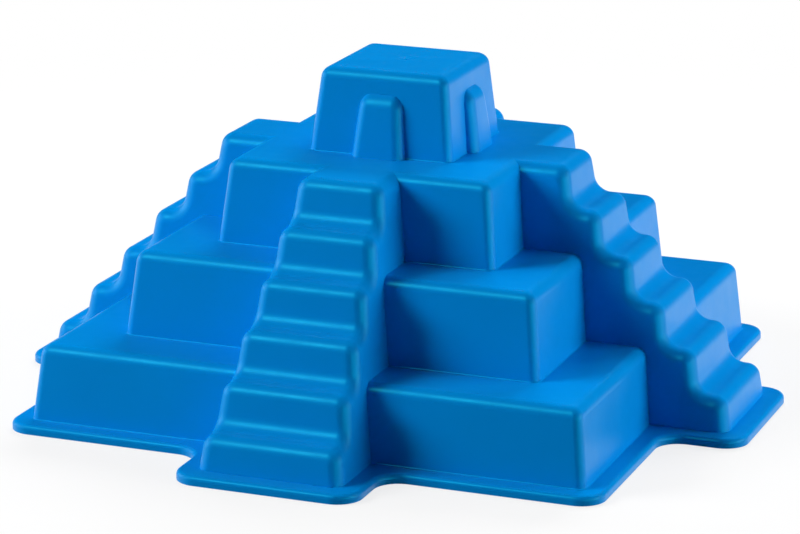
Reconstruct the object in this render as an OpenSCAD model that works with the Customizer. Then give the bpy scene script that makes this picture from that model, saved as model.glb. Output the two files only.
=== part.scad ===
// Stepped-pyramid sand mould
// A hollow, open-bottomed plastic shell. Three square tiers and a temple stand on a flat rim, with a
// stair up the middle of each side and a raised doorway on each face of the temple.
// Millimetres. The origin is the middle of the resting face, +Z is up, and the front faces -Y.

/* [Tiers] */
// Width of the temple across its foot
temple_w = 41.6; // [38:0.2:46]
// How far each tier's foot stands out from the foot of the tier above it
setback = 19.2; // [18.4:0.2:22]
// Rise of each tier, and of the temple
tier_rise = 23.25; // [21:0.25:26]
// Lean of the tier and temple walls, in degrees
tier_draft = 6.2; // [4:0.1:8]
// Rounding of the top edges
edge_r = 3.4; // [2.8:0.1:3.8]
// Radius of the upright edges, which run out towards the top
upright_r = 2.5; // [2.4:0.1:3.4]

/* [Shell] */
// Thickness of the moulded wall
wall = 2; // [1.4:0.1:2.4]

/* [Rim] */
// Thickness of the rim
rim_t = 2.5; // [2.2:0.1:4]
// How far the rim stands out from the foot of the walls
rim_lip = 5.4; // [4:0.1:7]
// Corner radius of the rim in plan, outward and inward corners alike
rim_corner_r = 7; // [5:0.5:9]
// Rounding of the rim's upper edge
rim_edge_r = 1.3; // [0.6:0.1:1.8]

/* [Stairs] */
// Steps that climb one tier
steps_per_tier = 2; // [1:1:2]
// Width of a stair at its landing, between the side walls
landing_w = 24.2; // [20:0.2:28]
// Depth of the landing, from the upper tier's edge to the top nosing
landing_d = 13.4; // [12:0.2:16]
// Lean of a stair's side walls, in degrees
stair_draft = 6.9; // [5:0.1:8]
// Lean of the risers, in degrees
riser_draft = 9; // [6:0.5:11]
// Rounding of the nosings
nosing_r = 3.8; // [3.7:0.1:4.1]
// Hollow rounding between a tread and the riser above it
root_r = 4.6; // [3:0.1:4.8]
// Rounding along the side edges of a stair
stair_edge_r = 3.6; // [2.4:0.1:3.6]

/* [Doorways] */
// Width of a doorway at its foot
door_w = 15.4; // [14:0.1:18]
// Height of a doorway
door_h = 17.3; // [15:0.1:18.5]
// How far a doorway stands out from the temple at its foot
door_proud = 3; // [2.8:0.1:4]
// Lean of a doorway's face, in degrees
door_lean = 8.6; // [8:0.1:10]
// Lean of a doorway's sides, in degrees
door_draft = 5.4; // [4:0.1:7]
// Rounding along the top edge of a doorway
door_top_r = 4.6; // [4:0.1:5]
// Rounding along the side edges of a doorway
door_edge_r = 3.2; // [2.4:0.1:3.6]

/* [Hidden] */
SIDES = ["back", "left", "front", "right"];
CORNERS = ["back_right", "back_left", "front_left", "front_right"];
$fn = 64;
// Cuts run past the faces that they open by this much
overrun = 1.5;
// Flat facets along a rounded turn of a side view, and across a side edge or round an upright one
arc_facets = 5;
edge_facets = 4;
// Share of the upright edges' radius that is left where they run out in a top
upright_top_share = 0.25;

// Levels of the tiers, counted from the bottom
LOWER = 0;
MIDDLE = LOWER + 1;
UPPER = MIDDLE + 1;
TEMPLE = UPPER + 1;

// Radius that is left of an upright edge at the top
upright_top_r = upright_r * upright_top_share;

// Stairs: they climb to the upper tier's top, at the slope of the tiers
step_count = TEMPLE * steps_per_tier;
step_rise = tier_rise / steps_per_tier;
step_run = setback / steps_per_tier;
landing_z = tier_top(UPPER);
top_nosing = wall_at(UPPER, landing_z) + landing_d;
stair_foot = nosing_y(1) + (tread_z(1) - rim_t) * tan(riser_draft);
// The landing meets the upper tier's plate on a plane just inside the rounded edge
landing_back = edge_axis(UPPER) - wall;

// Rim outline: a square round the lower tier, with a tongue round the foot of each stair
rim_half = tier_half(LOWER) + rim_lip;
tongue_reach = stair_foot + rim_lip;
tongue_half = stair_half(rim_t) + rim_lip;

// Doorway: its face starts at the foot of the temple and leans back more than the wall does
door_foot_z = tier_foot(TEMPLE);
door_top_z = door_foot_z + door_h;
door_foot_y = tier_half(TEMPLE) + door_proud;
door_top_y = door_foot_y - door_h * tan(door_lean);

// Heights, and half widths at the foot, of a tier
function tier_top(level) = tier_rise * (level + 1);
function tier_foot(level) = level == LOWER ? rim_t : tier_rise * level;
function tier_half(level) = temple_w / 2 + setback * (TEMPLE - level);
// Distance from the middle to a tier's wall at height z, with its edges left sharp
function wall_at(level, z) = tier_half(level) - (z - tier_foot(level)) * tan(tier_draft);
// Centre of the rounded top edge: its height, and its distance from the middle
function edge_z(level) = tier_top(level) - edge_r;
function edge_axis(level) = wall_at(level, edge_z(level)) - edge_r / cos(tier_draft);

// Height and distance from the middle of step k's nosing, and half the width of a stair at height z
function tread_z(k) = step_rise * k;
function nosing_y(k) = top_nosing + step_run * (step_count - k);
function stair_half(z) = landing_w / 2 + (landing_z - z) * tan(stair_draft);
function door_half(z) = door_w / 2 - (z - door_foot_z) * tan(door_draft);

// Rounded turns of a side view: points [y, z, angle of the outward normal], corner at [y, z]
function turn(from, to) = [for (i = [0 : arc_facets]) from + (to - from) * i / arc_facets];
function outward_turn(y, z, r, lean) =
    let (cy = y - r * tan((90 - lean) / 2), cz = z - r)
    [for (a = turn(lean, 90)) [cy + r * cos(a), cz + r * sin(a), a]];
function inward_turn(y, z, r, lean) =
    let (cy = y + r * tan((90 - lean) / 2), cz = z + r)
    [for (a = turn(90, lean)) [cy - r * cos(a), cz - r * sin(a), a]];

// Side view of a stair, from height z on the lowest riser up to the back of the landing at y
function stair_path(z, y) = concat(
    [[nosing_y(1) + (tread_z(1) - z) * tan(riser_draft), z, riser_draft]],
    [for (k = [1 : step_count]) each concat(
        outward_turn(nosing_y(k), tread_z(k), nosing_r, riser_draft),
        k == step_count ? [] : inward_turn(
            nosing_y(k + 1) + step_rise * tan(riser_draft), tread_z(k), root_r, riser_draft)
    )],
    [[y, landing_z, 90]]
);
// Side view of a doorway, from height z on its face up to y on its flat top
function door_path(z, y) = concat(
    [[door_foot_y + (door_foot_z - z) * tan(door_lean), z, door_lean]],
    outward_turn(door_top_y, door_top_z, door_top_r, door_lean),
    [[y, door_top_z, 90]]
);
// A side view moved inward by a depth
function sunk(path, depth) = [for (p = path) [p[0] - depth * cos(p[2]), p[1] - depth * sin(p[2])]];

// Half width at height z of a form with leaning sides, a stair or a doorway
function half_width(kind, z) = kind == "stair" ? stair_half(z) : door_half(z);

// One cross-section of a loft: up one side, over the rounded edges and down to the base
function section(p, kind, r, base) =
    let (
        turns = [for (i = [0 : edge_facets]) 90 * (1 - i / edge_facets)],
        edge = [for (a = turns)
            let (y = p[0] - r * (1 - cos(a)) * cos(p[2]), z = p[1] - r * (1 - cos(a)) * sin(p[2]))
            [half_width(kind, z) - r + r * sin(a), y, z]],
        foot = [half_width(kind, base), edge[0].y, base],
        right = concat([foot], edge)
    )
    concat(
        [for (q = right) [-q.x, q.y, q.z]],
        [for (i = [len(right) - 1 : -1 : 0]) right[i]]
    );

// Skin over rows of points, each row a closed loop, with flat ends
module skin(rows) {
    n = len(rows[0]);
    last = len(rows) - 1;
    sides = [for (i = [0 : last - 1]) for (j = [0 : n - 1])
        let (a = i * n + j, b = i * n + (j + 1) % n)
        each [[a, b + n, a + n], [a, b, b + n]]];
    ends = [for (j = [1 : n - 2]) each [[0, j + 1, j], [last * n, last * n + j, last * n + j + 1]]];
    polyhedron(points = [for (row = rows) each row], faces = concat(sides, ends));
}

// Outer form of a stair or doorway on the +Y side, reaching below its seat by the overrun
module stair_form() {
    base = rim_t - overrun;
    skin([for (p = stair_path(base + overrun / 2, landing_back)) section(p, "stair", stair_edge_r, base)]);
}

module door_form() {
    base = door_foot_z - overrun;
    back = edge_axis(TEMPLE) - overrun;
    skin([for (p = door_path(base + overrun / 2, back)) section(p, "door", door_edge_r, base)]);
}

// Side view in Y and Z that ends over the middle of the part, closed there and extruded along X
module side_view(points, half) {
    rotate([90, 0, 90])
        linear_extrude(2 * half, center = true)
            polygon(concat(points, [[0, points[0].y]]));
}

// Prism between two leaning side planes, a wall inside a stair or doorway, along Y
module between_sides(kind, low, high, inset, reach) {
    rotate([90, 0, 0])
        linear_extrude(2 * reach, center = true)
            polygon([for (s = [1, -1]) for (z = s > 0 ? [low, high] : [high, low])
                [s * (half_width(kind, z) - inset), z]]);
}

// Hollow inside a stair on the +Y side, open downwards
module stair_hollow() {
    low = -overrun;
    intersection() {
        side_view(sunk(stair_path(low, 0), wall), stair_half(low));
        between_sides("stair", low - overrun, landing_z, wall / cos(stair_draft), tongue_reach);
    }
}

// Hollow inside a doorway on the +Y side, open to the temple and downwards through the plate
module door_hollow() {
    low = door_foot_z - wall - overrun;
    intersection() {
        side_view(sunk(door_path(low, 0), wall), door_half(low));
        between_sides("door", low - overrun, door_top_z, wall / cos(door_draft), door_foot_y + overrun);
    }
}

// Ways through the tiers from the main cavity into the stairs, along Y and along X
module stair_ways() {
    for (turned = [0, 90])
        rotate(turned)
            between_sides("stair", -overrun, landing_z - wall, wall / cos(stair_draft), tongue_reach);
}

// Seat of a landing in the upper tier's plate, as wide as the flat of the landing
module landing_seat() {
    half = stair_half(landing_z) - stair_edge_r;
    translate([-half, landing_back, landing_z - wall])
        cube([2 * half, tier_half(UPPER), wall + overrun]);
}

// Side view of a tier, up its wall and over the rounded edge: points [half width, height], moved in by
// inset and lengthened down by drop
function tier_path(level, inset = 0, drop = 0) =
    let (
        r = edge_r - inset,
        axis = edge_axis(level),
        high = edge_z(level),
        low = tier_foot(level) - drop
    )
    concat(
        [[axis + r / cos(tier_draft) + (high - low) * tan(tier_draft), low]],
        [for (a = turn(tier_draft, 90)) [axis + r * cos(a), high + r * sin(a)]]
    );

// Radius of the upright edges where the tier is so wide: whole on the wall, less over the rounded edge
function corner_r(level, half) =
    let (turned_share = (half - edge_axis(level)) / edge_r / cos(tier_draft))
    upright_top_r + (upright_r - upright_top_r) * min(turned_share, 1);

// Square ring with rounded corners, clockwise from above
function quarter_turns(p, count) = count == 0 ? p : quarter_turns([p.y, -p.x], count - 1);
function square_ring(half, r, z) =
    [for (i = [0 : 3]) for (j = [0 : edge_facets])
        let (a = 90 * j / edge_facets, corner = [half - r + r * sin(a), half - r + r * cos(a)])
        concat(quarter_turns(corner, i), z)];

// A tier's outer body
module tier(level) {
    skin([for (p = tier_path(level)) square_ring(p.x, corner_r(level, p.x), p.y)]);
}

// A tier's walls along X and what lies between them, run past the corners
module tier_run(level, inset = 0, drop = 0) {
    path = tier_path(level, inset, drop);
    rotate([90, 0, 90])
        linear_extrude(2 * rim_half, center = true)
            polygon(concat(path, [for (i = [len(path) - 1 : -1 : 0]) [-path[i].x, path[i].y]]));
}

// Cavity under a tier, which runs down through the plate or rim below it
module tier_hollow(level) {
    drop = (level == LOWER ? rim_t : wall) + overrun;
    intersection() {
        tier_run(level, wall, drop);
        rotate(90)
            tier_run(level, wall, drop);
    }
}

// Copies of a quarter or a side, all the way round
module all_round() {
    for (turned = [0 : 90 : 270])
        rotate(turned)
            children();
}

// Edge of the rim in section, out to reach, with its upper edge rounded
module rim_edge(reach, depth) {
    polygon(concat(
        [[reach - depth, 0], [reach, 0]],
        [for (a = turn(0, 90)) [reach - rim_edge_r * (1 - cos(a)), rim_t - rim_edge_r * (1 - sin(a))]],
        [[reach - depth, rim_t]]
    ));
}

// Strip of the rim's plate, length along X and width along Y, with its rounded edge beyond the width
module rim_strip(length, width) {
    rotate([90, 0, 90])
        linear_extrude(length) {
            square([width, rim_t]);
            translate([width, 0])
                rim_edge(rim_corner_r, rim_corner_r);
        }
}

// Quarter of a flat plate with a rounded corner and a rounded upper edge
module rim_quarter(half_x, half_y) {
    x = half_x - rim_corner_r;
    y = half_y - rim_corner_r;
    rim_strip(x, y);
    mirror([1, -1, 0])
        rim_strip(y, x);
    translate([x, y, 0])
        rotate_extrude(angle = 90)
            rim_edge(rim_corner_r, rim_corner_r);
}

// Fillet in the inward corner between a tongue and the square part of the rim
module rim_fillet() {
    deep = rim_corner_r + rim_edge_r;
    translate([tongue_half + rim_corner_r, rim_half + rim_corner_r, 0])
        intersection() {
            translate([-deep, -deep, 0])
                cube([deep, deep, rim_t]);
            rotate(180)
                rotate_extrude(angle = 90)
                    mirror([1, 0])
                        rim_edge(-rim_corner_r, 2 * rim_corner_r);
        }
}

module base_rim() {
    color("#0a80cc")
        difference() {
            union() {
                all_round()
                    rim_quarter(rim_half, rim_half);
                all_round()
                    for (s = [0, 1])
                        mirror([s, 0, 0]) {
                            rim_quarter(tongue_half, tongue_reach);
                            rim_fillet();
                        }
            }
            tier_hollow(LOWER);
            all_round()
                stair_hollow();
        }
}

// One corner of a terrace, in the +X +Y quarter: two walls and the plate between them
module terrace(level) {
    color("#0a80cc")
        difference() {
            intersection() {
                tier(level);
                cube([tongue_reach, tongue_reach, tier_top(TEMPLE)]);
            }
            tier_hollow(level);
            tier_hollow(level + 1);
            stair_ways();
        }
}

module upper_tier() {
    color("#0a80cc")
        difference() {
            tier(UPPER);
            tier_hollow(UPPER);
            tier_hollow(TEMPLE);
            stair_ways();
            all_round()
                landing_seat();
            all_round()
                door_hollow();
        }
}

module temple() {
    color("#0a80cc")
        difference() {
            tier(TEMPLE);
            tier_hollow(TEMPLE);
            all_round()
                door_form();
        }
}

// Stair on the +Y side: stepped plate and side walls that stand on the rim and the terraces
module stair() {
    color("#0a80cc")
        difference() {
            stair_form();
            stair_hollow();
            translate([-tongue_reach, 0, 0])
                cube([2 * tongue_reach, tongue_reach, rim_t]);
            tier_run(LOWER);
            tier_run(MIDDLE);
            difference() {
                tier_run(UPPER);
                landing_seat();
            }
        }
}

// Doorway on the +Y face: a raised panel that fills its opening in the temple's wall
module doorway() {
    color("#0a80cc")
        difference() {
            door_form();
            door_hollow();
            tier_run(TEMPLE, wall, wall);
            translate([-door_w, 0, 0])
                cube([2 * door_w, 2 * door_foot_y, door_foot_z]);
        }
}

base_rim();
for (i = [0 : 3]) {
    rotate(90 * i) terrace(LOWER);
    rotate(90 * i) terrace(MIDDLE);
    rotate(90 * i) stair();
    rotate(90 * i) doorway();
}
upper_tier();
temple();
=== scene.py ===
"""Looks of the stepped-pyramid sand mould.

Each moulded region of the shell is rebuilt here with fine curves, from the same sizes as the part's source.
Sizes are in millimetres and the finished meshes in metres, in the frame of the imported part.
"""

import math

import bmesh
import bpy
from mathutils import Matrix, Vector


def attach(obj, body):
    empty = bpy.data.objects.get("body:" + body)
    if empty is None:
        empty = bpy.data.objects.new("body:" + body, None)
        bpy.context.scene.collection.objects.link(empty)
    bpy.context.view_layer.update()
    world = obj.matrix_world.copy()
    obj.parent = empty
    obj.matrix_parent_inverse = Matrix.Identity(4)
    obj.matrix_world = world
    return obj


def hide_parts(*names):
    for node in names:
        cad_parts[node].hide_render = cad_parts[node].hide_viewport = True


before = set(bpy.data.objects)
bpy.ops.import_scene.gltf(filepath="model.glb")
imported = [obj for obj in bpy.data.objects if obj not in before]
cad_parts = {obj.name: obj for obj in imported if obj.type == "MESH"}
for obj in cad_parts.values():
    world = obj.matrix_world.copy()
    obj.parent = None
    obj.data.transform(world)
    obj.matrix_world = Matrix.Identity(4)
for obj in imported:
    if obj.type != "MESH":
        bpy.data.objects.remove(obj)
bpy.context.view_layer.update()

MM = 0.001

# Tiers and temple
TEMPLE_W = 41.6
SETBACK = 19.2
TIER_RISE = 23.25
TIER_DRAFT = math.radians(6.2)
EDGE_R = 3.4
UPRIGHT_R = 2.5
UPRIGHT_TOP_R = UPRIGHT_R / 4
FOOT_R = 0.45
LOWER, MIDDLE, UPPER, TEMPLE = range(4)

# Shell and rim
WALL = 2.0
RIM_T = 2.5
RIM_LIP = 5.4
RIM_CORNER_R = 7.0
RIM_EDGE_R = 1.3

# Stairs
STEPS_PER_TIER = 2
LANDING_W = 24.2
LANDING_D = 13.4
STAIR_DRAFT = math.radians(6.9)
RISER_DRAFT = math.radians(9)
NOSING_R = 3.8
ROOT_R = 4.6
STAIR_EDGE_R = 3.6

# Doorways
DOOR_W = 15.4
DOOR_H = 17.3
DOOR_PROUD = 3.0
DOOR_LEAN = math.radians(8.6)
DOOR_DRAFT = math.radians(5.4)
DOOR_TOP_R = 4.6
DOOR_EDGE_R = 3.2
DOOR_HOLLOW_R = WALL / 8

# Gate mark, the round trace of the moulding's feed point on the temple
GATE_R = 2.6
GATE_DEPTH = 0.3
GATE_NUB_R = 0.8
GATE_NUB_H = 0.25
GATE_NUB_ROOT = WALL / 4
GATE_NUB_TURN = math.radians(81)
GATE_DISH_SHARES = (0.1, 0.3, 0.5, 0.7, 0.85, 1.0)

# Cuts run past the faces that they open by this much
OVERRUN = 1.5

# Facets along the rounded edges
CORNER_FACETS = 14
EDGE_FACETS = 9
FOOT_FACETS = 4
TURN_FACETS = 10
SIDE_FACETS = 8
RIM_FACETS = 12
GATE_FACETS = 40
NUB_FACETS = 4
FLOOR_FACETS = 96

SIDES = ["back", "left", "front", "right"]
CORNERS = ["back_right", "back_left", "front_left", "front_right"]
RIGHT_ANGLE = math.pi / 2


def spread(start, end, facets):
    return [start + (end - start) * i / facets for i in range(facets + 1)]


# Sizes that follow from the named ones

def tier_top(level):
    return TIER_RISE * (level + 1)


def tier_foot(level):
    return RIM_T if level == LOWER else TIER_RISE * level


def tier_half(level):
    return TEMPLE_W / 2 + SETBACK * (TEMPLE - level)


def wall_at(level, z):
    return tier_half(level) - (z - tier_foot(level)) * math.tan(TIER_DRAFT)


def edge_axis(level):
    """Distance from the middle to the centre line of a tier's rounded top edge."""
    return wall_at(level, tier_top(level) - EDGE_R) - EDGE_R / math.cos(TIER_DRAFT)


STEP_COUNT = TEMPLE * STEPS_PER_TIER
STEP_RISE = TIER_RISE / STEPS_PER_TIER
STEP_RUN = SETBACK / STEPS_PER_TIER
LANDING_Z = tier_top(UPPER)
LANDING_BACK = edge_axis(UPPER) - WALL
TOP_NOSING = wall_at(UPPER, LANDING_Z) + LANDING_D
DOOR_FOOT_Z = tier_foot(TEMPLE)
DOOR_TOP_Z = DOOR_FOOT_Z + DOOR_H
DOOR_FOOT_Y = tier_half(TEMPLE) + DOOR_PROUD
DOOR_TOP_Y = DOOR_FOOT_Y - DOOR_H * math.tan(DOOR_LEAN)


def tread_z(step):
    return STEP_RISE * step


def nosing_y(step):
    return TOP_NOSING + STEP_RUN * (STEP_COUNT - step)


def stair_half(z):
    return LANDING_W / 2 + (LANDING_Z - z) * math.tan(STAIR_DRAFT)


def door_half(z):
    return DOOR_W / 2 - (z - DOOR_FOOT_Z) * math.tan(DOOR_DRAFT)


STAIR_FOOT = nosing_y(1) + (tread_z(1) - RIM_T) * math.tan(RISER_DRAFT)
RIM_HALF = tier_half(LOWER) + RIM_LIP
TONGUE_REACH = STAIR_FOOT + RIM_LIP
TONGUE_HALF = stair_half(RIM_T) + RIM_LIP


# Closed forms in millimetres, and the cuts between them

def mesh_from(bm, name):
    bmesh.ops.recalc_face_normals(bm, faces=bm.faces)
    mesh = bpy.data.meshes.new(name)
    bm.to_mesh(mesh)
    bm.free()
    obj = bpy.data.objects.new(name, mesh)
    bpy.context.scene.collection.objects.link(obj)
    return obj


def loft(name, rows):
    """Closed form through rows of points, each row a closed loop, with flat ends."""
    bm = bmesh.new()
    loops = [[bm.verts.new(p) for p in row] for row in rows]
    count = len(rows[0])
    for low, high in zip(loops, loops[1:]):
        for j in range(count):
            k = (j + 1) % count
            bm.faces.new((low[j], low[k], high[k], high[j]))
    bm.faces.new(loops[0])
    bm.faces.new(loops[-1])
    return mesh_from(bm, name)


def prism(name, outline, low, high, place):
    """Outline in two axes, extruded along the third; place puts each point in space."""
    return loft(name, [[place(u, v, w) for u, v in outline] for w in (low, high)])


def box(name, low, high):
    outline = [(low[0], low[1]), (high[0], low[1]), (high[0], high[1]), (low[0], high[1])]
    return prism(name, outline, low[2], high[2], lambda u, v, w: (u, v, w))


def boolean(obj, tool, operation):
    modifier = obj.modifiers.new(operation, "BOOLEAN")
    modifier.operation = operation
    modifier.object = tool
    modifier.solver = "MANIFOLD"
    graph = bpy.context.evaluated_depsgraph_get()
    mesh = bpy.data.meshes.new_from_object(obj.evaluated_get(graph))
    obj.modifiers.clear()
    old = obj.data
    obj.data = mesh
    bpy.data.meshes.remove(old)
    return obj


def discard(*objs):
    for obj in objs:
        mesh = obj.data
        bpy.data.objects.remove(obj)
        bpy.data.meshes.remove(mesh)


def cut(obj, *tools):
    """Takes the tools away from a form, and throws the tools away."""
    for tool in tools:
        boolean(obj, tool, "DIFFERENCE")
    discard(*tools)
    return obj


def turned(obj, quarters):
    """Turns a form about the upright axis by quarter turns, without rounding."""
    turn = {0: (1, 0, 0, 1), 1: (0, -1, 1, 0), 2: (-1, 0, 0, -1), 3: (0, 1, -1, 0)}[quarters % 4]
    a, b, c, d = turn
    for v in obj.data.vertices:
        x, y, z = v.co
        v.co = (a * x + b * y, c * x + d * y, z)
    return obj


# Tiers

def tier_profile(level, inset, drop, foot_r):
    """Half width, corner radius and height of each ring, up the wall and over the rounded edge."""
    r = EDGE_R - inset
    high = tier_top(level) - EDGE_R
    low = tier_foot(level) - drop
    core = edge_axis(level)
    corner = max(UPRIGHT_R - inset, UPRIGHT_TOP_R)
    foot = core + r / math.cos(TIER_DRAFT) + (high - low) * math.tan(TIER_DRAFT)
    points = [(foot, corner, low)]
    if foot_r:
        out = foot + foot_r * math.tan((RIGHT_ANGLE - TIER_DRAFT) / 2)
        points = []
        for a in spread(RIGHT_ANGLE, TIER_DRAFT, FOOT_FACETS):
            half = out - foot_r * math.cos(a)
            points.append((half, corner + max(half - foot, 0), low + foot_r * (1 - math.sin(a))))
    for a in spread(TIER_DRAFT, RIGHT_ANGLE, EDGE_FACETS):
        turn = UPRIGHT_TOP_R + (corner - UPRIGHT_TOP_R) * math.cos(a) / math.cos(TIER_DRAFT)
        points.append((core + r * math.cos(a), turn, high + r * math.sin(a)))
    return points


def rounded_square(half, r, z):
    ring = []
    for i in range(4):
        for a in spread(0, RIGHT_ANGLE, CORNER_FACETS):
            x, y = half - r + r * math.cos(a), half - r + r * math.sin(a)
            for _ in range(i):
                x, y = -y, x
            ring.append((x, y, z))
    return ring


def tier(level, inset=0.0, drop=0.0, foot_r=0.0):
    return loft("tier", [rounded_square(*ring) for ring in tier_profile(level, inset, drop, foot_r)])


def hollow(level):
    return tier(level, WALL, (RIM_T if level == LOWER else WALL) + OVERRUN)


# Stairs and doorways, on the +Y side

def outward_turn(y, z, r, lean):
    cy, cz = y - r * math.tan((RIGHT_ANGLE - lean) / 2), z - r
    angles = spread(lean, RIGHT_ANGLE, TURN_FACETS)
    return [(cy + r * math.cos(a), cz + r * math.sin(a), a) for a in angles]


def inward_turn(y, z, r, lean):
    cy, cz = y + r * math.tan((RIGHT_ANGLE - lean) / 2), z + r
    angles = spread(RIGHT_ANGLE, lean, TURN_FACETS)
    return [(cy - r * math.cos(a), cz - r * math.sin(a), a) for a in angles]


def stair_path(z, y):
    """Side view of a stair from height z up to y: points, and the angle of the outward normal there."""
    path = [(nosing_y(1) + (tread_z(1) - z) * math.tan(RISER_DRAFT), z, RISER_DRAFT)]
    for k in range(1, STEP_COUNT + 1):
        path += outward_turn(nosing_y(k), tread_z(k), NOSING_R, RISER_DRAFT)
        if k < STEP_COUNT:
            foot = nosing_y(k + 1) + STEP_RISE * math.tan(RISER_DRAFT)
            path += inward_turn(foot, tread_z(k), ROOT_R, RISER_DRAFT)
    return path + [(y, LANDING_Z, RIGHT_ANGLE)]


def door_path(z, y):
    path = [(DOOR_FOOT_Y + (DOOR_FOOT_Z - z) * math.tan(DOOR_LEAN), z, DOOR_LEAN)]
    path += outward_turn(DOOR_TOP_Y, DOOR_TOP_Z, DOOR_TOP_R, DOOR_LEAN)
    return path + [(y, DOOR_TOP_Z, RIGHT_ANGLE)]


def sunk(path, depth):
    return [(y - depth * math.cos(a), z - depth * math.sin(a), a) for y, z, a in path]


def section(point, half_at, r, base):
    """Loop across a form with leaning sides: over its rounded edges, and straight down to the base."""
    y, z, lean = point
    side = []
    for a in spread(RIGHT_ANGLE, 0, SIDE_FACETS):
        inward = r * (1 - math.cos(a))
        ey, ez = y - inward * math.cos(lean), z - inward * math.sin(lean)
        side.append((half_at(ez) - r + r * math.sin(a), ey, ez))
    side.insert(0, (half_at(base), side[0][1], base))
    return [(-px, py, pz) for px, py, pz in side] + side[::-1]


def stair_form():
    base = RIM_T - OVERRUN
    path = stair_path(base + OVERRUN / 2, LANDING_BACK)
    return loft("stair", [section(p, stair_half, STAIR_EDGE_R, base) for p in path])


def stair_hollow():
    low = -OVERRUN
    inset = WALL / math.cos(STAIR_DRAFT)
    path = sunk(stair_path(low + OVERRUN, 0), WALL)

    def half_at(z):
        return stair_half(z) - inset

    edge_r, base = STAIR_EDGE_R - WALL, low - OVERRUN
    return loft("stair_hollow", [section(p, half_at, edge_r, base) for p in path])


def door_form():
    base = DOOR_FOOT_Z - OVERRUN
    path = door_path(base + OVERRUN / 2, edge_axis(TEMPLE) - OVERRUN)
    return loft("door", [section(p, door_half, DOOR_EDGE_R, base) for p in path])


def door_hollow():
    low = DOOR_FOOT_Z - WALL - OVERRUN
    inset = WALL / math.cos(DOOR_DRAFT)
    path = sunk(door_path(low + OVERRUN, 0), WALL)

    def half_at(z):
        return door_half(z) - inset

    base = low - OVERRUN
    return loft("door_hollow", [section(p, half_at, DOOR_HOLLOW_R, base) for p in path])


def stair_way(quarters):
    """Way from the main cavity into two facing stairs."""
    inset = WALL / math.cos(STAIR_DRAFT)
    low, high = -OVERRUN, LANDING_Z - WALL
    wide, narrow = stair_half(low) - inset, stair_half(high) - inset
    outline = [(-wide, low), (wide, low), (narrow, high), (-narrow, high)]
    way = prism("way", outline, -TONGUE_REACH, TONGUE_REACH, lambda u, v, w: (u, w, v))
    return turned(way, quarters)


def landing_seat():
    half = stair_half(LANDING_Z) - STAIR_EDGE_R
    return box("seat", (-half, LANDING_BACK, LANDING_Z - WALL),
               (half, LANDING_BACK + tier_half(UPPER), LANDING_Z + OVERRUN))


def all_round(make):
    return [turned(make(), i) for i in range(4)]


# Regions of the shell

def arc(cx, cy, r, start, end, outward):
    """Points and outward normals along an arc of the rim's outline."""
    points = []
    for a in spread(start, end, RIM_FACETS):
        c, s = math.cos(a), math.sin(a)
        points.append((cx + r * c, cy + r * s, c * outward, s * outward))
    return points


def rim_outline():
    r = RIM_CORNER_R
    quarter, half = RIGHT_ANGLE, math.pi
    tongue_x, tongue_y = TONGUE_HALF - r, TONGUE_REACH - r
    fillet_x, fillet_y = TONGUE_HALF + r, RIM_HALF + r
    corner = RIM_HALF - r
    side = arc(fillet_x, fillet_y, r, -quarter, -half, -1)
    side += arc(tongue_x, tongue_y, r, 0, quarter, 1)
    side += arc(-tongue_x, tongue_y, r, quarter, half, 1)
    side += arc(-fillet_x, fillet_y, r, 0, -quarter, -1)
    side += arc(-corner, corner, r, quarter, half, 1)
    outline = []
    for _ in range(4):
        outline += side
        side = [(-y, x, -ny, nx) for x, y, nx, ny in side]
    return outline


def base_rim():
    outline = rim_outline()
    profile = [(0.0, 0.0)] + [
        (RIM_EDGE_R * (1 - math.cos(a)), RIM_T - RIM_EDGE_R * (1 - math.sin(a)))
        for a in spread(0, RIGHT_ANGLE, EDGE_FACETS)
    ]
    rows = [[(x - nx * d, y - ny * d, z) for x, y, nx, ny in outline] for d, z in profile]
    return cut(loft("rim", rows), hollow(LOWER), *all_round(stair_hollow))


def terrace(level):
    """All four corners of a terrace."""
    ring = tier(level, foot_r=FOOT_R)
    return cut(ring, hollow(level), hollow(level + 1), stair_way(0), stair_way(1))


def upper_tier():
    ring = tier(UPPER, foot_r=FOOT_R)
    cut(ring, hollow(UPPER), hollow(TEMPLE), stair_way(0), stair_way(1))
    return cut(ring, *all_round(landing_seat), *all_round(door_hollow))


def gate_rows(profile):
    angles = spread(0, 2 * math.pi, GATE_FACETS)[:-1]
    return [[(r * math.cos(a), r * math.sin(a), z) for a in angles] for r, z in profile]


def gate_dish():
    top = tier_top(TEMPLE)
    dish = [(GATE_R * share, top - GATE_DEPTH * (1 - share ** 2)) for share in GATE_DISH_SHARES]
    return loft("dish", gate_rows(dish + [(GATE_R, top + OVERRUN)]))


def gate_nub():
    floor = tier_top(TEMPLE) - GATE_DEPTH
    nub = [(GATE_NUB_R, floor - GATE_NUB_ROOT)]
    for a in spread(0, GATE_NUB_TURN, NUB_FACETS):
        nub.append((GATE_NUB_R * math.cos(a), floor + GATE_NUB_H * math.sin(a)))
    return loft("nub", gate_rows(nub))


def temple():
    body = cut(tier(TEMPLE, foot_r=FOOT_R), hollow(TEMPLE), *all_round(door_form))
    cut(body, gate_dish())
    nub = gate_nub()
    boolean(body, nub, "UNION")
    discard(nub)
    return body


def stair():
    below = box("below", (-TONGUE_REACH, 0, -TONGUE_REACH), (TONGUE_REACH, 2 * TONGUE_REACH, RIM_T))
    lower = tier(LOWER, foot_r=FOOT_R)
    middle = tier(MIDDLE, foot_r=FOOT_R)
    upper = cut(tier(UPPER, foot_r=FOOT_R), landing_seat())
    return cut(stair_form(), stair_hollow(), below, lower, middle, upper)


def doorway():
    below = box("below", (-DOOR_W, 0, 0), (DOOR_W, 2 * DOOR_FOOT_Y, DOOR_FOOT_Z))
    return cut(door_form(), door_hollow(), tier(TEMPLE, WALL, WALL), below)


# Finished pieces

SHARP_ANGLE = math.radians(34)


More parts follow.
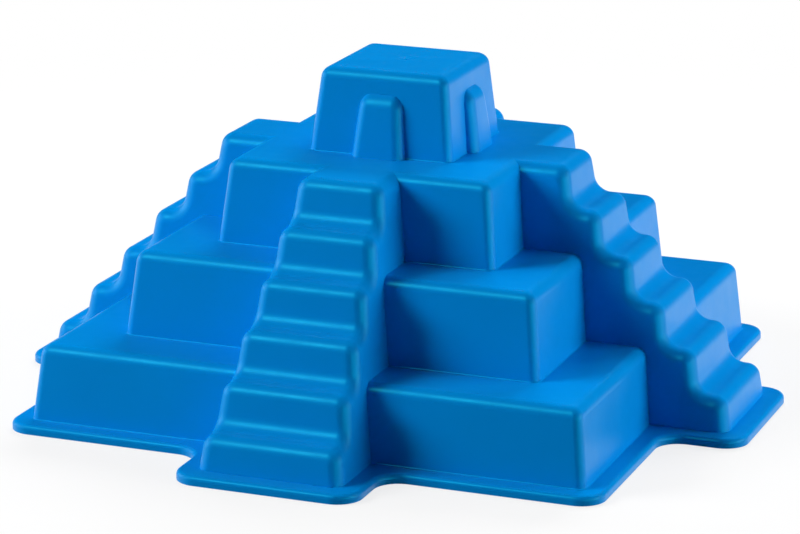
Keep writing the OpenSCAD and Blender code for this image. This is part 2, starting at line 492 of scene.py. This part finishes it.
def quarter_of(obj, quarters):
    """One corner of a ring that is cut into four, found by where its points lie."""
    bm = bmesh.new()
    bm.from_mesh(obj.data)
    sx, sy = [(1, 1), (-1, 1), (-1, -1), (1, -1)][quarters]
    others = [v for v in bm.verts if v.co.x * sx < 0 or v.co.y * sy < 0]
    bmesh.ops.delete(bm, geom=others, context="VERTS")
    return mesh_from(bm, "quarter")


def finish_piece(obj, node):
    """Cleans a form, puts it in metres and lets it stand for its CAD node."""
    bm = bmesh.new()
    bm.from_mesh(obj.data)
    bmesh.ops.recalc_face_normals(bm, faces=bm.faces)
    bm.to_mesh(obj.data)
    bm.free()
    obj.name = node + "_moulding"
    obj.data.name = obj.name
    obj.data.transform(Matrix.Scale(MM, 4))
    obj.data.shade_smooth()
    obj.data.set_sharp_from_angle(angle=SHARP_ANGLE)
    weighted = obj.modifiers.new("normals", "WEIGHTED_NORMAL")
    weighted.keep_sharp = True
    obj.data.materials.clear()
    obj.data.materials.append(PLASTIC)
    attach(obj, "root")
    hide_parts(node)


def copies(obj, names):
    """The same form on all four sides, under its nodes' names."""
    for i, name in enumerate(names):
        twin = bpy.data.objects.new(name, obj.data.copy())
        bpy.context.scene.collection.objects.link(twin)
        finish_piece(turned(twin, i), name)
    discard(obj)


def build_shell():
    finish_piece(base_rim(), "base_rim")
    for level, label in ((LOWER, "lower_terrace_"), (MIDDLE, "middle_terrace_")):
        ring = terrace(level)
        for i, corner in enumerate(CORNERS):
            finish_piece(quarter_of(ring, i), label + corner)
        discard(ring)
    finish_piece(upper_tier(), "upper_tier")
    finish_piece(temple(), "temple")
    copies(stair(), [side + "_stair" for side in SIDES])
    copies(doorway(), [side + "_doorway" for side in SIDES])


# Materials

SHELL_BLUE = (0.0, 0.295, 0.79, 1.0)
SHELL_DEEP = (0.0, 0.27, 0.75, 1.0)
SHEEN_TINT = (0.0, 0.8, 1.0, 1.0)
SPECULAR_LEVEL = 0.4
ROUGHNESS = (0.32, 0.4)
SHEEN_SPAN = (0.3, 0.7)
WAVE_STRENGTH, WAVE_HEIGHT = 0.5, 0.0002
GRAIN_STRENGTH, GRAIN_HEIGHT = 0.25, 0.00002

# Scale and detail of each noise
FLOW_NOISE = (38, 3)
SHEEN_NOISE = (160, 4)
WAVE_NOISE = (60, 1)
GRAIN_NOISE = (2600, 2)


def new_material(name):
    material = bpy.data.materials.new(name)
    material.use_nodes = True
    material.node_tree.nodes.clear()
    return material, material.node_tree


def node(tree, kind, **inputs):
    made = tree.nodes.new(kind)
    for key, value in inputs.items():
        made.inputs[key.replace("_", " ")].default_value = value
    return made


def noise(tree, coord, scale, detail):
    made = node(tree, "ShaderNodeTexNoise", Scale=scale, Detail=detail)
    tree.links.new(coord, made.inputs["Vector"])
    return made.outputs["Fac"]


def map_range(tree, value, source, target):
    made = node(tree, "ShaderNodeMapRange", From_Min=source[0], From_Max=source[1],
                To_Min=target[0], To_Max=target[1])
    tree.links.new(value, made.inputs["Value"])
    return made


def plastic():
    """Satin polypropylene, with faint flow in the colour, uneven sheen and a soft, wavy surface."""
    material, tree = new_material("blue_polypropylene")
    link = tree.links.new
    coord = node(tree, "ShaderNodeTexCoord").outputs["Object"]
    shader = node(tree, "ShaderNodeBsdfPrincipled")
    shader.inputs["Specular IOR Level"].default_value = SPECULAR_LEVEL
    shader.inputs["Specular Tint"].default_value = SHEEN_TINT
    flow = node(tree, "ShaderNodeMixRGB", Color1=SHELL_BLUE, Color2=SHELL_DEEP)
    link(noise(tree, coord, *FLOW_NOISE), flow.inputs["Fac"])
    link(flow.outputs["Color"], shader.inputs["Base Color"])
    sheen = map_range(tree, noise(tree, coord, *SHEEN_NOISE), SHEEN_SPAN, ROUGHNESS)
    link(sheen.outputs["Result"], shader.inputs["Roughness"])
    wave = node(tree, "ShaderNodeBump", Strength=WAVE_STRENGTH, Distance=WAVE_HEIGHT)
    link(noise(tree, coord, *WAVE_NOISE), wave.inputs["Height"])
    grain = node(tree, "ShaderNodeBump", Strength=GRAIN_STRENGTH, Distance=GRAIN_HEIGHT)
    link(noise(tree, coord, *GRAIN_NOISE), grain.inputs["Height"])
    link(wave.outputs["Normal"], grain.inputs["Normal"])
    link(grain.outputs["Normal"], shader.inputs["Normal"])
    out = node(tree, "ShaderNodeOutputMaterial")
    link(shader.outputs["BSDF"], out.inputs["Surface"])
    return material


FLOOR_WHITE = (0.9, 0.9, 0.9, 1.0)
FLOOR_GREY = (0.86, 0.86, 0.86, 1.0)
FLOOR_NOISE = (30, 2)
FADE_REACH = (0.12, 0.45)
FADE_SHARES = (0.8, 1.0)
PURE_WHITE = (1.0, 1.0, 1.0, 1.0)
FLOOR_BOUNCE = (0.2, 0.2, 0.28, 1.0)
FLOOR_RADIUS = 6.0
FLOOR_DROP = 0.0002


def floor_material():
    """White where it is looked at, with the object's shadow, and darker for the light it sends back."""
    material, tree = new_material("floor")
    link = tree.links.new
    path = node(tree, "ShaderNodeLightPath")
    seen = path.outputs["Is Camera Ray"]
    for ray in ("Is Glossy Ray", "Is Transmission Ray"):
        either = node(tree, "ShaderNodeMath")
        either.operation = "MAXIMUM"
        link(seen, either.inputs[0])
        link(path.outputs[ray], either.inputs[1])
        seen = either.outputs["Value"]
    coord = node(tree, "ShaderNodeTexCoord").outputs["Object"]
    far = node(tree, "ShaderNodeVectorMath")
    far.operation = "LENGTH"
    link(coord, far.inputs[0])
    fade = map_range(tree, far.outputs["Value"], FADE_REACH, FADE_SHARES)
    fade.interpolation_type = "SMOOTHSTEP"
    grain = node(tree, "ShaderNodeMixRGB", Color1=FLOOR_WHITE, Color2=FLOOR_GREY)
    link(noise(tree, coord, *FLOOR_NOISE), grain.inputs["Fac"])
    lit = node(tree, "ShaderNodeBsdfDiffuse")
    link(grain.outputs["Color"], lit.inputs["Color"])
    white = node(tree, "ShaderNodeEmission", Color=PURE_WHITE, Strength=1.0)
    shown = node(tree, "ShaderNodeMixShader")
    link(fade.outputs["Result"], shown.inputs["Fac"])
    link(lit.outputs["BSDF"], shown.inputs[1])
    link(white.outputs["Emission"], shown.inputs[2])
    bounce = node(tree, "ShaderNodeBsdfDiffuse", Color=FLOOR_BOUNCE)
    top = node(tree, "ShaderNodeMixShader")
    link(seen, top.inputs["Fac"])
    link(bounce.outputs["BSDF"], top.inputs[1])
    link(shown.outputs["Shader"], top.inputs[2])
    # From below the floor is clear, so the underside of the mould can be looked at
    face = node(tree, "ShaderNodeNewGeometry")
    clear = node(tree, "ShaderNodeBsdfTransparent")
    sided = node(tree, "ShaderNodeMixShader")
    link(face.outputs["Backfacing"], sided.inputs["Fac"])
    link(top.outputs["Shader"], sided.inputs[1])
    link(clear.outputs["BSDF"], sided.inputs[2])
    out = node(tree, "ShaderNodeOutputMaterial")
    link(sided.outputs["Shader"], out.inputs["Surface"])
    return material


# Stage

def build_floor():
    bm = bmesh.new()
    bmesh.ops.create_circle(bm, cap_ends=True, segments=FLOOR_FACETS, radius=FLOOR_RADIUS)
    for face in bm.faces:
        if face.normal.z < 0:
            face.normal_flip()
    mesh = bpy.data.meshes.new("floor")
    bm.to_mesh(mesh)
    bm.free()
    floor = bpy.data.objects.new("floor", mesh)
    floor.location.z = -FLOOR_DROP
    bpy.context.scene.collection.objects.link(floor)
    mesh.materials.append(floor_material())


LAMP_DISTANCE = 1.2
LAMP_AIM = Vector((0, 0, 0.04))

# Name, azimuth and elevation in degrees, width and height in metres, power in watts
BODY_LAMPS = [
    ("key", -58, 31, 0.55, 0.45, 13.4),
    ("side", 107, 15, 0.8, 0.75, 12.2),
    ("back", -176, 40, 0.8, 0.4, 12.5),
]
GLINT_LAMPS = [
    ("glint_front", -32, 48, 0.5, 0.4, 9.0),
    ("glint_right", 68, 8, 1.4, 0.35, 9.5),
    ("glint_left", -80, 14, 1.2, 0.5, 5.0),
]
WORLD_COLOUR = (0.8, 0.8, 0.9, 1.0)
WORLD_STRENGTH = 0.005


def softbox(name, azimuth, elevation, width, height, power):
    """Lamp that looks at the middle of the mould. Azimuth counts from the front towards the right."""
    az, el = math.radians(azimuth), math.radians(elevation)
    way = Vector((math.sin(az) * math.cos(el), -math.cos(az) * math.cos(el), math.sin(el)))
    lamp = bpy.data.lights.new(name, "AREA")
    lamp.shape = "RECTANGLE"
    lamp.size = width
    lamp.size_y = height
    lamp.energy = power
    obj = bpy.data.objects.new(name, lamp)
    obj.location = LAMP_AIM + way * LAMP_DISTANCE
    obj.rotation_euler = way.to_track_quat("Z", "Y").to_euler()
    bpy.context.scene.collection.objects.link(obj)
    return obj


def build_lights():
    # The body lamps leave no mirror image, and the glint lamps leave nothing else
    for lamp in BODY_LAMPS:
        softbox(*lamp).visible_glossy = False
    for lamp in GLINT_LAMPS:
        softbox(*lamp).visible_diffuse = False
    world = bpy.data.worlds.new("studio")
    world.use_nodes = True
    back = world.node_tree.nodes["Background"]
    back.inputs["Color"].default_value = WORLD_COLOUR
    back.inputs["Strength"].default_value = WORLD_STRENGTH
    bpy.context.scene.world = world


# Camera, at the photo's angle
CAM_AZIMUTH = math.radians(20.33)
CAM_ELEVATION = math.radians(15.62)
CAM_DISTANCE = 0.972
CAM_TARGET = Vector((-0.0013, 0.0, 0.03305))
CAM_ROLL = math.radians(0.5)
CAM_SENSOR = 36.0
CAM_LENS = 155.7
CAM_CLIP = 0.01


def build_camera():
    lens = bpy.data.cameras.new("camera")
    lens.sensor_fit = "HORIZONTAL"
    lens.sensor_width = CAM_SENSOR
    lens.lens = CAM_LENS
    lens.clip_start = CAM_CLIP
    back = Vector((
        math.sin(CAM_AZIMUTH) * math.cos(CAM_ELEVATION),
        -math.cos(CAM_AZIMUTH) * math.cos(CAM_ELEVATION),
        math.sin(CAM_ELEVATION),
    ))
    place = Matrix.Translation(CAM_TARGET + back * CAM_DISTANCE)
    look = back.to_track_quat("Z", "Y").to_matrix().to_4x4()
    camera = bpy.data.objects.new("camera", lens)
    camera.matrix_world = place @ look @ Matrix.Rotation(CAM_ROLL, 4, "Z")
    bpy.context.scene.collection.objects.link(camera)
    bpy.context.scene.camera = camera


PLASTIC = plastic()
build_shell()
build_floor()
build_lights()
build_camera()
bpy.context.scene.view_settings.view_transform = "Standard"
